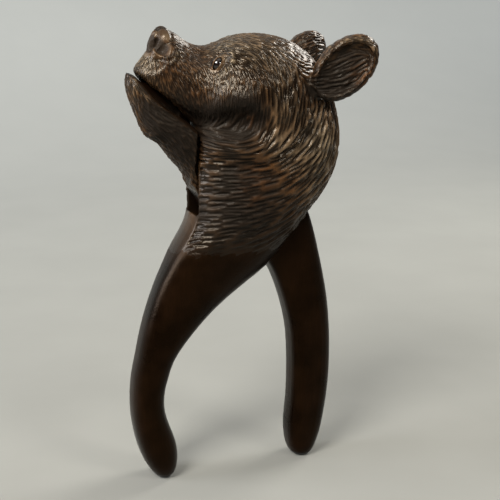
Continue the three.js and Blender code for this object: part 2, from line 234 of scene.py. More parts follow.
def openSkin(surface, points, normals, reach):   # 1 where nothing stands over the surface, as on the flanks
    turned, outside, above = 0.35, 9, 0.4   # a flank's least turn and distance from the middle, a ray's start
    free = points[:, 1] * normals[:, 1] > 0
    free &= (np.abs(normals[:, 1]) > turned) & (np.abs(points[:, 1]) > outside)
    for i in np.nonzero(~free)[0]:
        p, n = points[i], normals[i]
        free[i] = surface.ray_cast(Vector(p + n * above), Vector(n), reach)[0] is None
    return free


def lineOn(surface, pixels, mirrored=False, gap=0.35):   # a smooth line through pixels, laid on the wood
    knots = np.array([seenAt(surface, *p)[0] for p in pixels])
    ends = np.vstack([2 * knots[0] - knots[1], knots, 2 * knots[-1] - knots[-2]])
    path = []
    for k in range(1, len(ends) - 2):
        p0, p1, p2, p3 = ends[k - 1:k + 3]
        for t in np.linspace(0, 1, max(2, int(np.linalg.norm(p2 - p1) / gap)), endpoint=False):
            path.append(0.5 * (2 * p1 + (p2 - p0) * t + (2 * p0 - 5 * p1 + 4 * p2 - p3) * t * t
                               + (3 * p1 - p0 - 3 * p2 + p3) * t ** 3))
    path = np.array(path + [knots[-1]])
    return path * (1, -1, 1) if mirrored else path


# points near a line: which they are, how far off it and on which side, and their share of its length
def lineOffsets(path, points, normals, reach):
    near = np.nonzero(((points > path.min(0) - reach) & (points < path.max(0) + reach)).all(1))[0]
    if not len(near):
        return near, np.zeros(0), np.zeros(0)
    gaps = np.linalg.norm(points[near, None] - path[None], axis=2)
    best = gaps.argmin(1)
    along = unit(np.gradient(path, axis=0))[best]
    off = points[near] - path[best]
    side = np.sign(np.einsum("ij,ij->i", np.cross(along, off), normals[near]))
    keep = gaps.min(1) < reach
    return near[keep], (gaps.min(1) * side)[keep], (best / max(1, len(path) - 1))[keep]


def drawn(pixels, kind, height, width, **more):   # one line for cutLines: height and half width in mm
    return {"pixels": pixels, "kind": kind, "height": height, "width": width, **more}


def cutLines(surface, points, normals, lines):   # how far raised or sunk lines move each point
    shift = np.zeros(len(points))
    for line in lines:
        reach = line["width"]
        for mirrored in (False, True):
            path = lineOn(surface, line["pixels"], mirrored)
            near, off, share = lineOffsets(path, points, normals, reach)
            if mirrored:
                off = -off
            q = np.abs(off) / reach
            fade = ramp(share, 0, line.get("fadeIn", 0.12)) * ramp(1 - share, 0, line.get("fadeOut", 0.12))
            if line["kind"] == "round":
                form = (1 - q * q) ** 2
            elif line["kind"] == "crisp":
                form = (1 - q) ** 1.3
            else:   # a step: stands on one side of the line, and runs out on that side
                form = np.where(off * line["side"] > 0, (1 - q) ** 1.5, -0.55 * (1 - q) ** 3)
            shift[near] += line["height"] * form * fade
    return shift


def pressLobes(surface, points, lobes):   # soft hollows and swellings: pixel, height, radius
    shift = np.zeros(len(points))
    for px, py, height, radius in lobes:
        place, _ = seenAt(surface, px, py)
        for flip in (1, -1):
            gap2 = ((points - place * (1, flip, 1)) ** 2).sum(1)
            shift += height * np.exp(-gap2 / (radius * radius))
    return shift


def dragSkin(surface, points, pulls):   # moves whole regions, hollows and all: pixel, way in mm, radius
    for px, py, way, radius in pulls:
        place, _ = seenAt(surface, px, py)
        near = [np.exp(-((points - place * (1, flip, 1)) ** 2).sum(1) / radius ** 2) for flip in (1, -1)]
        points = points + np.maximum(*near)[:, None] * way
    return points


def flowOf(surface, guides):   # fur directions and stroke sizes at pixels, mirrored to the far side
    places, ways, sizes = [], [], []
    for px, py, dx, dy, length, width, depth in guides:
        place, normal = seenAt(surface, px, py)
        flat = lookRight * dx - lookUp * dy
        way = flat - lookAlong * (flat @ normal) / min(lookAlong @ normal, -0.25)
        way = way - normal * (way @ normal)
        for flip in (1, -1):
            places.append(place * (1, flip, 1))
            ways.append(unit(way) * (1, flip, 1))
            sizes.append((length, width, depth))
    return np.array(places), np.array(ways), np.array(sizes)


def flowAt(flow, points, normals):
    places, ways, sizes = flow
    way, size = np.zeros_like(points), np.zeros_like(points)
    atOnce = 20000
    for start in range(0, len(points), atOnce):
        part = slice(start, start + atOnce)
        pull = 1 / (((points[part, None] - places[None]) ** 2).sum(2) + 3) ** 2
        pull /= pull.sum(1, keepdims=True)
        way[part], size[part] = pull @ ways, pull @ sizes
    way = unit(way - normals * (way * normals).sum(1, keepdims=True))
    return way, size


# how the gouge is held on both levers: lengths in mm, angle in degrees
gouge = {
    "wander": 3, "vary": (0.78, 1.22), "spaceAlong": 0.62, "spaceAcross": 0.56, "steps": 6, "follow": 0.4,
    "fineLength": 6, "fineReach": 3.0, "hollow": 1.9, "lean": 0.35, "entry": 0.8, "blunt": 0.7,
    "widths": ((0, 1.7, 1.2), (1.7, 9, 2.3)), "overlap": 1.3, "aside": 1.6, "facing": 0.25, "leastCoat": 0.3,
}   # widths: from, to, and how far off such a stroke is looked for


def sowStrokes(surface, flow, points, normals, allowed, habit):   # seeded gouge strokes along the flow
    g = gouge
    dice = np.random.default_rng(habit["seed"])
    picks = dice.permutation(np.nonzero(allowed)[0])[:habit["looked"]]
    way, size = flowAt(flow, points[picks], normals[picks])
    chance = 1 / (size[:, 0] * size[:, 1])   # small strokes need more tries than long ones
    tried = dice.uniform(0, 1, len(picks)) < chance * habit["tries"] / chance.sum()
    picks, way, size = picks[tried], way[tried], size[tried]
    swing = dice.normal(0, math.radians(g["wander"]), len(picks))[:, None]
    way = way * np.cos(swing) + np.cross(normals[picks], way) * np.sin(swing)
    size = size * dice.uniform(*g["vary"], (len(picks), 3))
    spots = points[picks]
    everyone, fine = np.arange(len(size)), size[:, 0] < g["fineLength"]
    short, longer = np.nonzero(fine)[0], np.nonzero(~fine)[0]
    meetings = ((short, short, g["fineReach"]), (longer, everyone, habit["reach"]),
                (short, longer, habit["reach"]))
    pairs = [(a[i], b[j]) for a, b, reach in meetings if len(a) and len(b)
             for i, j in nearPairs(spots[a], spots[b], reach)]
    clashes = []   # pairs of places too near each other for two strokes
    for first, second in pairs:
        off = spots[first] - spots[second]
        along = (off * way[second]).sum(1)
        across2 = (off * off).sum(1) - along * along
        both = size[first] + size[second]
        beside = across2 / (both[:, 1] * 0.5 * g["spaceAcross"]) ** 2
        tight = (along / (both[:, 0] * 0.5 * g["spaceAlong"])) ** 4 + beside ** 2 < 1
        clashes.append(np.stack([first[tight], second[tight]]))
    clashes = np.concatenate(clashes, axis=1)
    clashes = clashes[:, np.argsort(clashes[1], kind="stable")]
    begin = np.searchsorted(clashes[1], np.arange(len(picks) + 1))
    free, kept = np.ones(len(picks), bool), []
    for i in range(len(picks)):
        if free[i]:
            kept.append(i)
            free[clashes[0, begin[i]:begin[i + 1]]] = False
    kept = np.array(kept)
    spots, way, size, start = spots[kept], way[kept], size[kept], normals[picks][kept]
    steps = g["steps"]
    trail = {0: (spots, way, start)}
    for sign in (1, -1):
        place, heading, normal = spots, way * sign, start
        for k in range(1, steps + 1):
            place = place + heading * (size[:, :1] / 2 / steps)
            found = [surface.find_nearest(Vector(p)) for p in place]
            place = np.array([f[0] for f in found])
            flat = np.array([f[1] for f in found])
            normal = unit(normal * 0.5 + flat * 0.5)
            fresh, _ = flowAt(flow, place, normal)
            heading = unit((1 - g["follow"]) * heading + g["follow"] * fresh * sign)
            heading = unit(heading - normal * (heading * normal).sum(1, keepdims=True))
            trail[k * sign] = (place, heading * sign, normal)
    ks = range(-steps, steps + 1)
    print(f"  {len(kept)} strokes")
    return {
        "places": np.concatenate([trail[k][0] for k in ks]),
        "ways": np.concatenate([trail[k][1] for k in ks]),
        "normals": np.concatenate([trail[k][2] for k in ks]),
        "share": np.concatenate([np.full(len(kept), (k + steps) / (2 * steps)) for k in ks]),
        "size": np.concatenate([size] * len(ks)),
        "lean": np.concatenate([dice.uniform(-1, 1, len(kept))] * len(ks)),
    }


# how deep the strokes cut each point, and how far down in its cut the point lies, from 0 at the crest to 1
def gougeDepth(strokes, points, normals):
    g = gouge
    depth, bottom = np.zeros(len(points)), np.zeros(len(points))
    halfStep = strokes["size"][:, 0] / 4 / g["steps"]
    atOnce = 30000
    for low, high, reach in g["widths"]:
        group = np.nonzero((strokes["size"][:, 1] >= low) & (strokes["size"][:, 1] < high))[0]
        for start in range(0, len(group), atOnce):
            some = group[start:start + atOnce]
            for a, b in nearPairs(strokes["places"][some], points, reach):
                s = some[a]
                off = points[b] - strokes["places"][s]
                along = (off * strokes["ways"][s]).sum(1)
                rise = (off * strokes["normals"][s]).sum(1)
                sideways = (np.cross(strokes["normals"][s], strokes["ways"][s]) * off).sum(1)
                half = strokes["size"][s, 1] / 2
                fits = (np.abs(along) < halfStep[s] * g["overlap"]) & (np.abs(sideways) < half)
                fits &= np.abs(rise) < g["aside"]
                fits &= (normals[b] * strokes["normals"][s]).sum(1) > g["facing"]
                s, b, along, sideways, half = s[fits], b[fits], along[fits], sideways[fits], half[fits]
                t = np.clip(strokes["share"][s] + along / strokes["size"][s, 0], 0, 1)
                q = sideways / half
                form = (1 - np.abs(q) ** g["hollow"]) * (1 + g["lean"] * q * strokes["lean"][s])
                form *= np.sin(math.pi * t ** g["entry"]) ** g["blunt"]
                np.maximum.at(depth, b, form * strokes["size"][s, 2])
                np.maximum.at(bottom, b, np.clip(form, 0, 1))
    return depth, bottom


def cutFur(piece, surface, flow, points, normals, fade, habit):   # strokes as deep as fade lets them be
    strokes = sowStrokes(surface, flow, points, normals, fade > gouge["leastCoat"], habit)
    depth, bottom = gougeDepth(strokes, points, normals)
    points = points - normals * (depth * fade)[:, None]
    movePoints(piece.data, points)
    # how far down each point lies in its cut, read by the finish as painted shade
    keepOn(piece.data, "cutDepth", bottom * fade)
    return points


def paintShadeAndWear(piece, surface, points, normals, tones, lines, rubbed):   # painted light and shade, and amber wear, for the finish to read
    tone = pressLobes(surface, points, tones) + cutLines(surface, points, normals, lines)
    keepOn(piece.data, "paintedShadeAndSheen", np.clip(tone, -1, 2))
    keepOn(piece.data, "amberRub", np.clip(pressLobes(surface, points, rubbed), 0, 1))


def finishCarving(piece, body, node):   # fur takes the carved finish, bare wood the plain one
    mostTriangles, leastCover = 190000, 0.15
    lighter(piece, mostTriangles)
    smoothShaded(piece.data)
    piece.data.materials.clear()
    piece.data.materials.append(plainWood)
    piece.data.materials.append(carvedWood)
    cover = readBack(piece.data, "furCover")
    corners = np.empty(len(piece.data.loops), np.int32)
    piece.data.loops.foreach_get("vertex_index", corners)
    starts = np.empty(len(piece.data.polygons), np.int32)
    piece.data.polygons.foreach_get("loop_start", starts)
    least = np.minimum.reduceat(cover[corners], starts)
    piece.data.polygons.foreach_set("material_index", (least > leastCover).astype(np.int32))
    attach(piece, body)
    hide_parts(node)
    print(f"{piece.name}: {triangleCount(piece.data)} triangles")


# front lever: the bear's head and neck over a plain handle. Sizes and places are mm from the pin
headCarving = {
    "voxel": 0.68, "meltRounds": 18, "hiddenMelt": 0.12, "openReach": 22,
    "furEnds": -25, "handleFade": 13, "furWarms": 8, "edgeWave": (0.9, 0.7), "earRoot": (22, 38),
    "face": {"back": 16, "foot": 34, "line": (42, 0.3)},   # where it ends behind, below, and at its slant
    "noseNear": {"before": -31, "above": 61, "turned": 0.8},
    "nose": {"top": (-37, 75), "foot": (-43, 63), "reach": 9, "core": 2, "setBack": 2.2, "halfWidth": 7,
             "most": 1.3, "narrower": 0.25},
    "eye": {"margin": 0.2, "near": 5.5, "outward": (-0.3, -0.88, 0.36), "slant": (0.55, 0, 0.83)},
    "lid": {"thickness": 0.35, "halfLength": 3.0, "halfOpening": 1.25, "corner": 1.7, "edge": (0.85, 1.15),
            "reachIn": 1.5, "glassGap": 0.5, "bareLength": 3.5, "bareHeight": 2.1, "bareReach": 7},
    "slotEdge": {"front": (8, 12), "height": (-42, -38), "side": (-9.6, -8.9)},
    "strokes": {"seed": 7, "looked": 160000, "tries": 50000, "reach": 6},
}

# pixel of the photograph, direction there (right, down), then stroke length, width and depth in mm
face, muzzle, crown = (3.8, 0.85, 0.34), (4.8, 0.95, 0.42), (5.4, 1.1, 0.44)
brow, mane, cheek = (3.4, 0.9, 0.33), (11, 1.9, 0.9), (5.0, 1.05, 0.48)
ruff, neck, nape = (11, 2.1, 0.95), (9.5, 2.1, 0.9), (12, 2.2, 0.85)
earHair, earRim = (9.5, 1.8, 0.85), (2.6, 1.0, 0.3)
headFur = [
    (145, 71, -.2, 1, *face), (158, 81, 0, 1, *muzzle), (181, 81, .5, .85, *muzzle),
    (197, 91, .35, .93, *muzzle), (170, 72, .3, 1, *muzzle), (186, 62, .6, .8, *face),
    (217, 84, .1, 1, *face), (207, 104, .2, 1, *cheek), (233, 91, .1, 1, *face),
    (249, 104, -.2, 1, *cheek), (184, 45, 1, .35, *face), (207, 49, 1, .1, *brow),
    (200, 62, .8, .5, *face), (204, 76, .45, .9, *face), (239, 41, 1, .25, *crown),
    (246, 52, .9, .4, *crown), (225, 38, 1, -.2, *crown), (262, 40, 1, .3, *crown),
    (284, 49, 1, .5, *crown), (265, 62, .6, .8, *crown), (278, 84, .25, 1, *crown),
    (291, 91, 0, 1, *mane), (270, 104, -.05, 1, *mane), (262, 118, -.15, 1, *mane),
    (282, 115, -.1, 1, *mane), (300, 107, -.2, 1, *mane), (303, 116, -.1, 1, *mane),
    (300, 133, -.45, .9, *mane), (278, 134, -.35, .95, *mane), (266, 134, -.5, .85, *mane),
    (291, 149, -.75, .65, *mane), (271, 162, -.95, .3, *mane), (256, 146, -.9, .4, *mane),
    (245, 152, -1, .1, *mane), (223, 146, -1, -.15, *mane), (207, 141, -.95, -.35, *mane),
    (320, 123, -.3, 1, *ruff), (333, 129, -.1, 1, *ruff), (331, 155, -.35, .95, *ruff),
    (320, 181, -.6, .8, *nape), (304, 155, -.7, .7, *ruff), (318, 140, -.4, .9, *ruff),
    (288, 171, -.9, .45, *neck), (255, 171, -1, .1, *neck), (223, 174, -1, -.05, *neck),
    (207, 191, -1, -.05, *neck), (207, 216, -1, 0, *neck), (239, 216, -1, .05, *neck),
    (271, 204, -.95, .25, *neck), (291, 210, -.8, .55, *nape), (300, 196, -.75, .6, *nape),
    (207, 236, -1, .02, *neck), (246, 236, -.95, .2, *neck), (272, 235, -.85, .45, *nape),
    (335, 62, 1, -.5, *earHair), (350, 55, 1, -.35, *earHair), (362, 52, 1, .1, *earHair),
    (330, 78, 1, -.1, *earHair), (345, 70, 1, -.45, *earHair), (360, 64, 1, -.7, *earHair),
    (350, 82, 1, -.45, *earHair), (362, 78, .6, -.8, *earHair), (335, 88, 1, -.15, *earHair),
    (322, 56, .7, -.7, *earRim), (331, 49, .8, -.6, *earRim), (346, 41, .9, -.3, *earRim),
    (366, 40, 1, .2, *earRim), (375, 57, .1, 1, *earRim), (370, 73, -.5, .85, *earRim),
    (356, 90, -.8, .5, *earRim), (338, 96, -1, .2, *earRim),
]

headLobes = [   # soft hollows and swellings
    (238, 118, -1.4, 5.0), (222, 122, -1.0, 4.5), (206, 126, -1.0, 4.0),   # hollow under the cheek
    (246, 100, 0.8, 5.0), (212, 46, 0.6, 4), (203, 56, -0.8, 3.2),
    (161, 50, -1.1, 2.8), (166, 39, 0.5, 2.6),   # the nostril's wing: hollow below, full above
    (350, 64, 1.5, 5.0), (340, 75, 1.0, 4.5), (318, 90, -1.0, 3.0),   # ear's tuft and dark root
]

# the nose's front is straight and its tip narrow: pixel, way, radius
headPulls = [(147, 45, (1.7, 0, -0.3), 5.0), (151, 33, (1.7, 0, -0.2), 3.5), (167, 42, (0, 0, -0.6), 4.0)]

# lines that are both cut and toned
wingCrest = [(157, 30), (155, 37), (154, 44), (154, 51), (160, 56), (168, 57), (173, 55)]   # nostril's wing
muzzleFold = [(180, 50), (176, 58), (169, 66)]
lidFold = [(210, 69), (213, 59), (221, 51), (229, 51)]
eyeRing = [(216, 48), (225, 45), (232, 52), (232, 62), (225, 70), (213, 78)]

headLines = [
    drawn([(323, 66), (337, 54), (351, 48), (363, 47), (371, 57), (368, 70), (354, 84), (336, 90), (321, 89)],
          "round", -0.7, 2.0),   # groove inside the ear's rim
    drawn([(319, 57), (330, 48), (345, 41), (362, 39)], "round", 0.6, 2.6),   # the rim
    drawn([(312, 106), (310, 114), (303, 129), (295, 142), (281, 155), (262, 164)],
          "step", 1.5, 6, side=-1, fadeOut=0.5),   # mane stands over the ruff behind it
    drawn([(301, 52), (297, 66), (293, 82), (287, 98)], "crisp", 0.7, 2.6, fadeOut=0.4),   # before the ear
    drawn(wingCrest, "crisp", 0.6, 0.9),
    drawn([(155, 58), (163, 61.5), (171, 61), (177, 56)], "round", -0.4, 1.4),   # under the nostril
    drawn(muzzleFold, "crisp", 0.7, 1.8),
    drawn(lidFold, "round", -0.5, 1.3),
    drawn(eyeRing, "crisp", 0.6, 1.9),
]

headShadeAndHighlights = [   # pixel, lighter or darker, radius: painted shade in the cheek's hollow, the nostril, under the ear and down the neck, painted highlights on the crown, nape, mane and ridges
    (242, 116, -2.2, 9), (226, 122, -2.0, 8), (207, 126, -1.8, 7), (258, 122, -0.9, 4),
    (195, 112, -0.9, 5), (180, 98, -0.7, 5), (152.5, 40, -4, 1.4), (151.5, 44, -5, 1.8),
    (151, 48, -5, 1.8), (161, 49, -2.2, 3.6), (158, 42, -0.9, 2.0), (167, 39, 1.0, 2.4),
    (139, 60, 0.9, 3.5), (153, 66, 0.5, 4), (168, 70, -0.4, 4), (200, 62, -0.5, 4), (246, 40, 0.8, 12),
    (222, 46, 1.0, 5), (285, 60, 0.7, 10), (330, 150, 1.4, 12), (322, 125, 1.0, 8), (312, 190, 0.9, 9),
    (250, 205, -0.9, 14), (286, 112, 0.9, 8), (276, 142, 0.9, 7), (300, 150, 0.7, 8),
    (290, 160, 0.6, 7), (285, 220, -0.3, 12), (240, 178, -1.0, 9), (232, 200, -0.7, 9),
    (262, 190, -0.5, 8), (345, 60, -0.6, 6), (350, 80, -0.8, 7), (225, 235, -0.4, 9),
    (320, 88, -1.4, 5), (330, 84, -1.2, 6), (345, 72, -0.7, 7), (358, 62, -0.4, 6), (302, 98, -0.3, 6),
    (145, 66, 0.8, 5), (178, 55, 0.7, 3), (190, 196, -1.3, 4), (192, 206, -1.3, 4), (225, 84, 0.6, 6),
]
# painted highlights along the ear's rim, the eye's ring, the wing's crest and the muzzle's fold, painted shade
# in the lid's fold
headLightAndShadeLines = [
    drawn([(319, 57), (330, 47), (346, 40), (364, 39), (376, 50), (374, 64)], "round", 1.2, 2.2),   # ear's rim
    drawn(eyeRing, "round", 1.8, 1.6),
    drawn(lidFold, "round", -1.2, 1.0),
    drawn(wingCrest, "round", 1.6, 0.7),
    drawn(muzzleFold, "round", 0.8, 1.6),
]
rubbedSpots = [   # pixel, strength, radius: amber where the stain is worn
    (250, 120, 0.4, 3), (262, 168, 0.5, 6), (255, 192, 0.35, 6), (285, 120, 0.3, 6), (330, 120, 0.4, 6),
    (290, 165, 0.3, 8), (367, 75, 0.8, 5), (300, 190, 0.3, 8), (170, 70, 0.4, 4), (195, 95, 0.3, 4),
]
bareNose = [(153, 40, 4.5), (158, 50, 4.2), (150, 52, 3.5), (162, 36, 4.0), (168, 50, 3.0)]   # pixel, radius


def eyeFrames():   # each glass eye's middle and radius, the way it looks, and the slant of its lids
    made = []
    ahead, beside, above = headCarving["eye"]["outward"]
    halfMm = 500   # half of 1000 mm to the metre
    for name, flip in (("left_glass_eye", 1), ("right_glass_eye", -1)):
        low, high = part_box(name)
        centre = (np.array(low) + np.array(high)) * halfMm - pivot
        radius = float(high[0] - low[0]) * halfMm
        outward = unit(np.array([ahead, beside * flip, above]))
        slant = np.array(headCarving["eye"]["slant"])
        slant = unit(slant - outward * (slant @ outward))
        made.append((centre, radius, outward, slant))
    return made


def carveEyelids(points, eyes):   # lids drawn as a thin skin over each glass eye
    lid = headCarving["lid"]
    for centre, radius, outward, slant in eyes:
        off = points - centre
        up = unit(np.cross(slant, outward))
        u, v, w = off @ slant, off @ up, off @ outward
        span = np.hypot(u, v)
        lidRadius = radius + lid["thickness"]
        # under 1 in the open eye
        almond = (np.abs(u) / lid["halfLength"]) ** lid["corner"] + (np.abs(v) / lid["halfOpening"]) ** 2
        over = np.sqrt(np.maximum(lidRadius ** 2 - span ** 2, 0))
        near = (w > -lid["reachIn"]) & (span < lidRadius)
        closed = np.maximum(w, over)
        sunk = np.minimum(w, np.sqrt(np.maximum((radius - lid["glassGap"]) ** 2 - span ** 2, 0.01)))
        w = np.where(near, sunk + (closed - sunk) * ramp(almond, *lid["edge"]), w)
        points = centre + u[:, None] * slant + v[:, None] * up + w[:, None] * outward
    return points


def narrowNose(points):   # the nose tapers towards its front
    s = headCarving["nose"]
    top, foot = np.array(s["top"]), np.array(s["foot"])
    side = points[:, [0, 2]] - top
    along = np.clip(side @ (foot - top) / ((foot - top) @ (foot - top)), 0, 1)
    near = ramp(-np.linalg.norm(side - along[:, None] * (foot - top), axis=1), -s["reach"], -s["core"])
    tapered = points.copy()
    tapered[:, 0] += s["setBack"] * near * np.minimum((points[:, 1] / s["halfWidth"]) ** 2, s["most"])
    tapered[:, 1] *= 1 - s["narrower"] * near
    return tapered


def headBlank(eyes):   # the head in even quads, melted, then made finer for the face and the fur
    s = headCarving
    fill = [((centre + pivot) / 1000, (radius + s["eye"]["margin"]) / 1000) for centre, radius, _, _ in eyes]
    piece = meshFromNode("front_lever", "frontLeverCarving", fill)
    evenQuads(piece, s["voxel"])
    points, normals = pointsOf(piece.data)
    earRoot = (points[:, 0] > s["earRoot"][0]) & (points[:, 2] > s["earRoot"][1])
    skin = openSkin(surfaceOf(piece.data), points, normals, s["openReach"]) | earRoot
    strength = np.where(skin, 1.0, s["hiddenMelt"])
    movePoints(piece.data, fairer(piece.data, points, s["meltRounds"], strength))
    points, normals = pointsOf(piece.data)
    x, z = points[:, 0], points[:, 2]
    near = s["noseNear"]
    close = (x < near["before"]) & (z > near["above"]) & (normals[:, 0] < near["turned"])
    for centre, _, _, _ in eyes:
        close |= np.linalg.norm(points - centre, axis=1) < s["eye"]["near"]
    at, slope = s["face"]["line"]
    close |= skin & (z > at + slope * x) & (x < s["face"]["back"]) & (z > s["face"]["foot"])
    surface = surfaceOf(piece.data)
    keepOn(piece.data, "openSkin", skin)
    keepOn(piece.data, "fineFace", close)
    finer(piece, close | skin & (z > s["furEnds"]))
    finer(piece, readBack(piece.data, "fineFace") > 0.99)
    print("front lever blank", len(piece.data.vertices), "vertices")
    return piece, surface


def noseBare(surface, points):   # 1 on the nose's bare skin
    bare = np.zeros(len(points))
    for px, py, radius in bareNose:
        place, _ = seenAt(surface, px, py)
        for flip in (1, -1):
            inside = -np.linalg.norm(points - place * (1, flip, 1), axis=1)
            bare = np.maximum(bare, ramp(inside, -radius, 1 - radius))
    return bare


def coatOf(piece, surface, points, skin, eyes):   # how deep fur is cut: 1 in full coat, 0 on bare skin
    s, lid, slot = headCarving, headCarving["lid"], headCarving["slotEdge"]
    high, often = s["edgeWave"]
    ragged = points[:, 2] + high * np.sin(points[:, 0] * often)
    fade = ramp(ragged, s["furEnds"], s["furEnds"] + s["handleFade"]) * skin
    keepOn(piece.data, "furCover", fade)
    for centre, _, outward, slant in eyes:
        off = points - centre
        across = np.cross(slant, outward)
        span = np.hypot((off @ slant) / lid["bareLength"], (off @ across) / lid["bareHeight"])
        fade *= np.where(np.linalg.norm(off, axis=1) < lid["bareReach"], ramp(span, 1.0, 1.3), 1)
    fade *= 1 - noseBare(surface, points)
    slotEdge = ramp(-points[:, 0], *slot["front"]) * ramp(-points[:, 2], *slot["height"])   # kept clean
    return fade * (1 - slotEdge * ramp(-np.abs(points[:, 1]), *slot["side"]))


def carveFrontLever():
    s = headCarving
    eyes = eyeFrames()
    piece, surface = headBlank(eyes)
    points, _ = pointsOf(piece.data)
    skin = readBack(piece.data, "openSkin")
    flow = flowOf(surface, headFur)
    movePoints(piece.data, narrowNose(dragSkin(surface, carveEyelids(points, eyes), headPulls)))
    points, normals = pointsOf(piece.data)
    surface = surfaceOf(piece.data)
    shift = cutLines(surface, points, normals, headLines) + pressLobes(surface, points, headLobes)
    movePoints(piece.data, points + normals * (shift * skin)[:, None])
    points, normals = pointsOf(piece.data)
    surface = surfaceOf(piece.data)
    fade = coatOf(piece, surface, points, skin, eyes)
    points = cutFur(piece, surface, flow, points, normals, fade, s["strokes"])
    keepOn(piece.data, "furTone", ramp(points[:, 2], s["furEnds"], s["furWarms"]) * skin)
    paintShadeAndWear(piece, surface, points, normals, headShadeAndHighlights, headLightAndShadeLines, rubbedSpots)
    finishCarving(piece, "head", "front_lever")
    return eyes


# rear lever: the lower jaw over the other handle
jawCarving = {
    "voxel": 0.7, "meltRounds": 12, "fineFrom": (-17, 2),
    "coat": {"front": (19, 21), "foot": (4, 8), "lean": 0.35, "facing": (-0.6, -0.3), "soften": 12,
             "edge": (0.35, 0.75)},
    "tongue": {"along": [-47, -44, -41, -38, -35, -32, -29, -26, -24, -22.5],
               "rise": [0, 0.5, 1.5, 2.8, 3.8, 4.4, 4.8, 5.0, 2.4, 0],
               "top": [54.3, 51.6, 50, 48, 45.8, 43.2, 40.2, 36.5, 33, 31],
               "tipAlong": [-49, -46.5, -42, -38], "tipRise": [0, 0.6, 0.7, 0],
               "side": (-5.5, -2.5), "skin": (-8, -3), "tipSkin": (-4, -1)},
    "strokes": {"seed": 11, "looked": 60000, "tries": 14000, "reach": 5},
}
jawHair, jawFine = (7.5, 1.5, 0.65), (4.5, 1.15, 0.45)
jawFur = [
    (132, 84, .2, 1, *jawFine), (136, 100, .25, 1, *jawHair), (141, 112, .35, .95, *jawHair),
    (150, 108, .6, .8, *jawHair), (148, 126, .7, .7, *jawHair), (160, 118, .85, .6, *jawHair),
    (168, 137, .8, .6, *jawHair), (176, 128, .85, .5, *jawFine), (181, 165, .5, .85, *jawFine),
    (185, 150, .5, .85, *jawHair), (176, 152, .7, .7, *jawHair),
]
lipRim = [(133, 78), (138, 87), (147, 98), (159, 107), (175, 117), (190, 129)]
chinCurl = [(148, 134), (153, 136), (159, 139), (164, 144)]
jawLines = [drawn(lipRim, "crisp", 1.1, 1.0), drawn(chinCurl, "crisp", 0.6, 1.8)]
# painted highlights at the jaw's tip, painted shade under the lip and inside the mouth: pixel, lighter or
# darker, radius
jawShadeAndHighlights = [
    (132, 88, 0.7, 3), (135, 102, 0.6, 3), (140, 118, 0.3, 4), (152, 112, -1.3, 6), (165, 122, -1.5, 8),
    (178, 135, -1.5, 9), (186, 158, -0.7, 8), (158, 132, -0.5, 5),
]
jawLightAndShadeLines = [
    drawn([(137, 79), (146, 89), (157, 98), (170, 107), (182, 116)], "round", -2.0, 2.6),   # painted shade in the mouth
    # painted highlights along the lip's rim and the chin's curl
    drawn(lipRim, "round", 5.0, 1.1),
    drawn(chinCurl, "round", 1.5, 1.0),
]


def raisedTongue(points):   # the tongue fills the mouth's middle, so nothing shows through
    t, x = jawCarving["tongue"], points[:, 0]
    rise = np.interp(x, t["along"], t["rise"])
    under = points[:, 2] - np.interp(x, t["along"], t["top"])
    tip = np.interp(x, t["tipAlong"], t["tipRise"]) * ramp(under, *t["tipSkin"])
    return np.maximum(rise * ramp(-np.abs(points[:, 1]), *t["side"]) * ramp(under, *t["skin"]), tip)


def carveRearLever():
    s, coat = jawCarving, jawCarving["coat"]
    piece = meshFromNode("rear_lever", "rearLeverCarving")
    evenQuads(piece, s["voxel"])
    points, _ = pointsOf(piece.data)
    points = fairer(piece.data, points, s["meltRounds"])
    points[:, 2] += raisedTongue(points)
    movePoints(piece.data, points)
    points, _ = pointsOf(piece.data)
    surface = surfaceOf(piece.data)
    finer(piece, (points[:, 0] < s["fineFrom"][0]) & (points[:, 2] > s["fineFrom"][1]))
    points, normals = pointsOf(piece.data)
    flow = flowOf(surface, jawFur)
    points = points + normals * cutLines(surface, points, normals, jawLines)[:, None]
    outside = ramp(-normals[:, 2] - coat["lean"] * normals[:, 0], *coat["facing"])   # 0 inside the mouth
    fade = ramp(-points[:, 0], *coat["front"]) * ramp(points[:, 2], *coat["foot"])
    fade = fade * ramp(blurred(piece.data, outside, coat["soften"]), *coat["edge"])
    cutFur(piece, surface, flow, points, normals, fade, s["strokes"])
    keepOn(piece.data, "furCover", fade)
    keepOn(piece.data, "furTone", fade)
    paintShadeAndWear(piece, surface, points, normals, jawShadeAndHighlights, jawLightAndShadeLines, ())
    finishCarving(piece, "jaw", "rear_lever")


def colour(hexValue):   # sRGB hex to linear
    parts = [int(hexValue[i:i + 2], 16) / 255 for i in (1, 3, 5)]
    return tuple(c / 12.92 if c <= 0.04045 else ((c + 0.055) / 1.055) ** 2.4 for c in parts) + (1,)


def addNode(tree, kind, settings=None, links=None):   # one node, its settings, and links from other outputs
    node = tree.nodes.new(kind)
    for key, value in (settings or {}).items():
        if isinstance(key, int) or key in node.inputs:
            node.inputs[key].default_value = value
        else:
            setattr(node, key, value)
    for key, source in (links or {}).items():
        tree.links.new(source, node.inputs[key])
    return node


def newFinish(name):
    material = bpy.data.materials.new(name)
    material.use_nodes = True
    tree = material.node_tree
    tree.nodes.clear()
    return material, tree


def rampStops(node, stops):
    ends = node.color_ramp.elements
    while len(ends) > 1:
        ends.remove(ends[-1])
    ends[0].position, ends[0].color = stops[0]
    for place, value in stops[1:]:
        ends.new(place).color = value


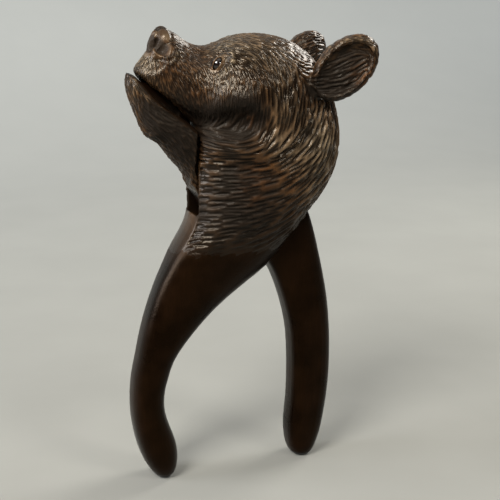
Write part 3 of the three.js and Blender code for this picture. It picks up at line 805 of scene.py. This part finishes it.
# walnut stained near black and waxed: warm only where it is rubbed
def makeWaxedWood(name, gloss, specular, tint, coat):
    # dark is the painted shade colour, light the painted highlight colour, deep the painted shade at the
    # bottom of cuts
    s = {"deep": "#0a0503", "dark": "#0f0805", "light": "#807059", "amber": "#7a4a20",
         "body": "#080301", "warm": "#150a04", "furBody": "#38291b", "furWarm": "#4f3823",
         "grainDark": "#dddddd", "grainPale": "#ffffff",
         "grainAcross": 0.7, "grainAlong": 14, "patch": 16, "dust": 0.9}   # sizes in mm
    material, tree = newFinish(name)
    where = addNode(tree, "ShaderNodeTexCoord").outputs["Object"]
    cut = addNode(tree, "ShaderNodeAttribute", {"attribute_name": "cutDepth"}).outputs["Fac"]
    # painted light and shade, carried from the carving
    tone = addNode(tree, "ShaderNodeAttribute", {"attribute_name": "paintedShadeAndSheen"}).outputs["Fac"]
    rub = addNode(tree, "ShaderNodeAttribute", {"attribute_name": "amberRub"}).outputs["Fac"]
    across, along = 1000 / s["grainAcross"], 1000 / s["grainAlong"]
    grainSpace = addNode(tree, "ShaderNodeMapping", {"Scale": (across, across, along)}, {"Vector": where})
    grain = addNode(tree, "ShaderNodeTexNoise", {"Scale": 1, "Detail": 3, "Roughness": 0.6},
                    {"Vector": grainSpace.outputs[0]})
    patches = addNode(tree, "ShaderNodeTexNoise", {"Scale": 1000 / s["patch"], "Detail": 2}, {"Vector": where})
    cover = addNode(tree, "ShaderNodeAttribute", {"attribute_name": "furTone"}).outputs["Fac"]
    plain = addNode(tree, "ShaderNodeValToRGB", links={"Fac": patches.outputs["Fac"]})
    rampStops(plain, [(0.38, colour(s["body"])), (0.62, colour(s["warm"]))])
    fur = addNode(tree, "ShaderNodeValToRGB", links={"Fac": patches.outputs["Fac"]})
    rampStops(fur, [(0.38, colour(s["furBody"])), (0.62, colour(s["furWarm"]))])
    wood = addNode(tree, "ShaderNodeMix", {"data_type": "RGBA"},
                   {0: cover, 6: plain.outputs[0], 7: fur.outputs[0]})
    # painted shade towards dark and painted highlights towards light, as the tone says
    darker = addNode(tree, "ShaderNodeMapRange", {"From Min": 0, "From Max": -1, "To Min": 0, "To Max": 0.9},
                     {"Value": tone})
    paler = addNode(tree, "ShaderNodeMapRange", {"From Min": 0, "From Max": 2, "To Min": 0, "To Max": 0.85},
                    {"Value": tone})
    shaded = addNode(tree, "ShaderNodeMix", {"data_type": "RGBA", 7: colour(s["dark"])},
                     {0: darker.outputs[0], 6: wood.outputs[2]})
    lit = addNode(tree, "ShaderNodeMix", {"data_type": "RGBA", 7: colour(s["light"])},
                  {0: paler.outputs[0], 6: shaded.outputs[2]})
    rubbed = addNode(tree, "ShaderNodeMath", {"operation": "MULTIPLY", 1: 0.5}, {0: rub})
    worn = addNode(tree, "ShaderNodeMix", {"data_type": "RGBA", 7: colour(s["amber"])},
                   {0: rubbed.outputs[0], 6: lit.outputs[2]})
    grainTone = addNode(tree, "ShaderNodeValToRGB", links={"Fac": grain.outputs["Fac"]})
    rampStops(grainTone, [(0.35, colour(s["grainDark"])), (0.6, colour(s["grainPale"]))])
    grained = addNode(tree, "ShaderNodeMix", {"data_type": "RGBA", "blend_type": "MULTIPLY", 0: 0.8},
                      {6: worn.outputs[2], 7: grainTone.outputs[0]})
    # painted shade: the bottoms of the gouge cuts are darkened towards deep
    cutShare = addNode(tree, "ShaderNodeMapRange",
                       {"From Min": 0.06, "From Max": 0.75, "To Min": 0, "To Max": 0.9}, {"Value": cut})
    cutShade = addNode(tree, "ShaderNodeMix", {"data_type": "RGBA", 7: colour(s["deep"])},
                      {0: cutShare.outputs[0], 6: grained.outputs[2]})
    dust = addNode(tree, "ShaderNodeTexNoise", {"Scale": 1000 / s["dust"], "Detail": 2}, {"Vector": where})
    rough = addNode(tree, "ShaderNodeMapRange",
                    {"From Min": 0.3, "From Max": 0.7, "To Min": gloss - 0.06, "To Max": gloss + 0.08},
                    {"Value": patches.outputs["Fac"]})
    dull = addNode(tree, "ShaderNodeMath", {"operation": "MULTIPLY_ADD", 1: 0.42},
                   {0: darker.outputs[0], 2: rough.outputs[0]})
    pores = addNode(tree, "ShaderNodeBump", {"Strength": 0.2, "Distance": 0.0002},
                    {"Height": grain.outputs["Fac"]})
    dusty = addNode(tree, "ShaderNodeBump", {"Strength": 0.2, "Distance": 0.0003},
                    {"Height": dust.outputs["Fac"], "Normal": pores.outputs[0]})
    shader = addNode(tree, "ShaderNodeBsdfPrincipled",
                     {"IOR": 1.45, "Specular IOR Level": specular, "Specular Tint": colour(tint),
                      "Coat Weight": coat, "Coat Roughness": 0.2},
                     {"Base Color": cutShade.outputs[2], "Roughness": dull.outputs[0],
                      "Normal": dusty.outputs[0]})
    addNode(tree, "ShaderNodeOutputMaterial", links={"Surface": shader.outputs[0]})
    return material


def makeBlackGlass():   # lamp-worked glass eye: black, with one sharp highlight
    material, tree = newFinish("blackLampworkedGlass")
    where = addNode(tree, "ShaderNodeTexCoord").outputs["Object"]
    swirlSize = 1.43   # mm
    swirl = addNode(tree, "ShaderNodeTexNoise", {"Scale": 1000 / swirlSize, "Detail": 1}, {"Vector": where})
    tone = addNode(tree, "ShaderNodeValToRGB", links={"Fac": swirl.outputs["Fac"]})
    rampStops(tone, [(0.4, colour("#0a0706")), (0.7, colour("#1c0f09"))])
    shader = addNode(tree, "ShaderNodeBsdfPrincipled",
                     {"Roughness": 0.05, "IOR": 1.52, "Coat Weight": 0.5, "Coat Roughness": 0.03},
                     {"Base Color": tone.outputs[0]})
    addNode(tree, "ShaderNodeOutputMaterial", links={"Surface": shader.outputs[0]})
    return material


def makeSteel(name, light, dark, roughness):   # drawn steel: fine marks along its length, dulled by age
    material, tree = newFinish(name)
    where = addNode(tree, "ShaderNodeTexCoord").outputs["Object"]
    across, along = 1000 / 0.25, 1000 / 5   # marks 0.25 mm wide and 5 mm long
    alongWire = addNode(tree, "ShaderNodeMapping", {"Scale": (across, along, across)}, {"Vector": where})
    marks = addNode(tree, "ShaderNodeTexNoise", {"Scale": 1, "Detail": 2}, {"Vector": alongWire.outputs[0]})
    tone = addNode(tree, "ShaderNodeValToRGB", links={"Fac": marks.outputs["Fac"]})
    rampStops(tone, [(0.35, colour(dark)), (0.65, colour(light))])
    rough = addNode(tree, "ShaderNodeMapRange", {"To Min": roughness - 0.08, "To Max": roughness + 0.12},
                    {"Value": marks.outputs["Fac"]})
    shader = addNode(tree, "ShaderNodeBsdfPrincipled", {"Metallic": 1},
                     {"Base Color": tone.outputs[0], "Roughness": rough.outputs[0]})
    addNode(tree, "ShaderNodeOutputMaterial", links={"Surface": shader.outputs[0]})
    return material


plainWood = makeWaxedWood("darkWaxedWalnut", 0.3, 0.22, "#c09a70", 0.0)
carvedWood = makeWaxedWood("carvedWaxedWalnut", 0.23, 0.36, "#dccdb8", 0.03)
blackGlass = makeBlackGlass()
pinSteel = makeSteel("drawnSteel", "#8f8c87", "#6d6a66", 0.4)
wireIron = makeSteel("annealedIronWire", "#5a5652", "#3b3734", 0.5)


eyeGlass = {"around": 40, "down": 24}   # facets, shaded smooth


def glassEyes(eyes):
    for name, (centre, radius, _, _) in zip(("left", "right"), eyes):
        bm = bmesh.new()
        bmesh.ops.create_uvsphere(bm, u_segments=eyeGlass["around"], v_segments=eyeGlass["down"],
                                  radius=radius / 1000)
        bmesh.ops.translate(bm, verts=bm.verts, vec=(centre + pivot) / 1000)
        piece = pieceFrom(bm, name + "EyeGlass")
        smoothShaded(piece.data)
        piece.data.materials.append(blackGlass)
        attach(piece, "head")
        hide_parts(name + "_glass_eye")
    print("glass eyes set")


eyes = carveFrontLever()
carveRearLever()
glassEyes(eyes)


def paint(nodeName, material):
    nodes[nodeName].data.materials.clear()
    nodes[nodeName].data.materials.append(material)


paint("pivot_pin", pinSteel)
paint("pin_plug", carvedWood)
paint("left_eye_wire", wireIron)
paint("right_eye_wire", wireIron)

# paper sweep and lamps, in metres; the paper's glow shows to the camera, in gloss and through clear pieces
studio = {"floor": "#81817c", "mottle": "#7d7d78", "glow": "#dfe4e2", "air": "#e9ebee", "airGlow": 0.08,
          "width": 6.0, "front": -1.2, "bend": 0.7, "radius": 0.9, "height": 1.4,
          "glowNear": 0.02, "glowFar": 0.45, "glowDepth": 1.2, "mottleSize": 0.0714, "lampAim": (0, 0, 0.1)}


def sweepShape():   # a floor that bends up into a wall
    s = studio
    bm = bmesh.new()
    start = [bm.verts.new((-s["width"] / 2, s["front"], 0)), bm.verts.new((s["width"] / 2, s["front"], 0))]
    flat = bmesh.ops.extrude_edge_only(bm, edges=[bm.edges.new(start)])["geom"]
    far = [v for v in flat if isinstance(v, bmesh.types.BMVert)]
    bmesh.ops.translate(bm, verts=far, vec=(0, s["bend"] - s["front"], 0))
    farEdge = [e for e in flat if isinstance(e, bmesh.types.BMEdge)]
    bend = bmesh.ops.spin(bm, geom=farEdge + far, cent=(0, s["bend"], s["radius"]), axis=(1, 0, 0),
                          dvec=(0, 0, 0), angle=math.pi / 2, steps=24)["geom_last"]
    up = bmesh.ops.extrude_edge_only(bm, edges=[e for e in bend if isinstance(e, bmesh.types.BMEdge)])["geom"]
    top = [v for v in up if isinstance(v, bmesh.types.BMVert)]
    bmesh.ops.translate(bm, verts=top, vec=(0, 0, s["height"]))
    bmesh.ops.recalc_face_normals(bm, faces=bm.faces)
    return pieceFrom(bm, "paperSweep")


def makePaper():   # plain matt paper, barely mottled, and brighter towards the back
    s = studio
    material, tree = newFinish("mattPaper")
    where = addNode(tree, "ShaderNodeTexCoord").outputs["Object"]
    mottle = addNode(tree, "ShaderNodeTexNoise", {"Scale": 1 / s["mottleSize"], "Detail": 3},
                     {"Vector": where})
    tone = addNode(tree, "ShaderNodeValToRGB", links={"Fac": mottle.outputs["Fac"]})
    rampStops(tone, [(0.3, colour(s["mottle"])), (0.7, colour(s["floor"]))])
    shader = addNode(tree, "ShaderNodeBsdfPrincipled", {"Roughness": 0.95, "Specular IOR Level": 0.1},
                     {"Base Color": tone.outputs[0]})
    split = addNode(tree, "ShaderNodeSeparateXYZ", links={"Vector": where})
    glow = addNode(tree, "ShaderNodeMapRange", {"From Min": 0, "From Max": s["glowDepth"],
                                                "To Min": s["glowNear"], "To Max": s["glowFar"]},
                   {"Value": split.outputs["Y"]})
    ray = addNode(tree, "ShaderNodeLightPath")
    direct = addNode(tree, "ShaderNodeMath", {"operation": "ADD"},
                     {0: ray.outputs["Is Camera Ray"], 1: ray.outputs["Is Glossy Ray"]})
    shown = addNode(tree, "ShaderNodeMath", {"operation": "ADD", "use_clamp": True},
                    {0: direct.outputs[0], 1: ray.outputs["Is Transmission Ray"]})
    seen = addNode(tree, "ShaderNodeMath", {"operation": "MULTIPLY"},
                   {0: glow.outputs[0], 1: shown.outputs[0]})
    lamp = addNode(tree, "ShaderNodeEmission", {"Color": colour(s["glow"])}, {"Strength": seen.outputs[0]})
    both = addNode(tree, "ShaderNodeAddShader", links={0: shader.outputs[0], 1: lamp.outputs[0]})
    addNode(tree, "ShaderNodeOutputMaterial", links={"Surface": both.outputs[0]})
    return material


def layBackdrop():
    sweep = sweepShape()
    smoothShaded(sweep.data)
    sweep.data.materials.append(makePaper())
    print("backdrop laid")


lamps = [   # name, place, size, watts, colour
    ("ceilingPanel", (-0.3, 0.35, 1.25), 2.4, 12.5, "#fffaf2"),
    ("keySoftbox", (-0.55, -0.45, 0.8), 0.36, 14, "#fffcf6"),
    ("frontSoftbox", (0.45, -0.75, 0.75), 0.25, 4, "#fffcf6"),
    ("windowLeft", (-1.0, 0.15, 0.5), 0.5, 10, "#f6f8ff"),
    ("rimPanel", (0.7, 0.25, 0.7), 0.4, 8, "#fffcf6"),
]


def hangLamps():
    for name, place, size, watts, tint in lamps:
        light = bpy.data.lights.new(name, "AREA")
        light.shape, light.size, light.energy, light.color = "SQUARE", size, watts, colour(tint)[:3]
        lamp = bpy.data.objects.new(name, light)
        lamp.location = place
        lamp.rotation_euler = (Vector(studio["lampAim"]) - Vector(place)).to_track_quat("-Z", "Y").to_euler()
        bpy.context.scene.collection.objects.link(lamp)
    world = bpy.data.worlds.new("paleRoom")
    bpy.context.scene.world = world
    world.use_nodes = True
    background = world.node_tree.nodes["Background"]
    background.inputs["Color"].default_value = colour(studio["air"])
    background.inputs["Strength"].default_value = studio["airGlow"]
    bpy.context.scene.view_settings.view_transform = "Standard"
    print("studio lit")


layBackdrop()
hangLamps()
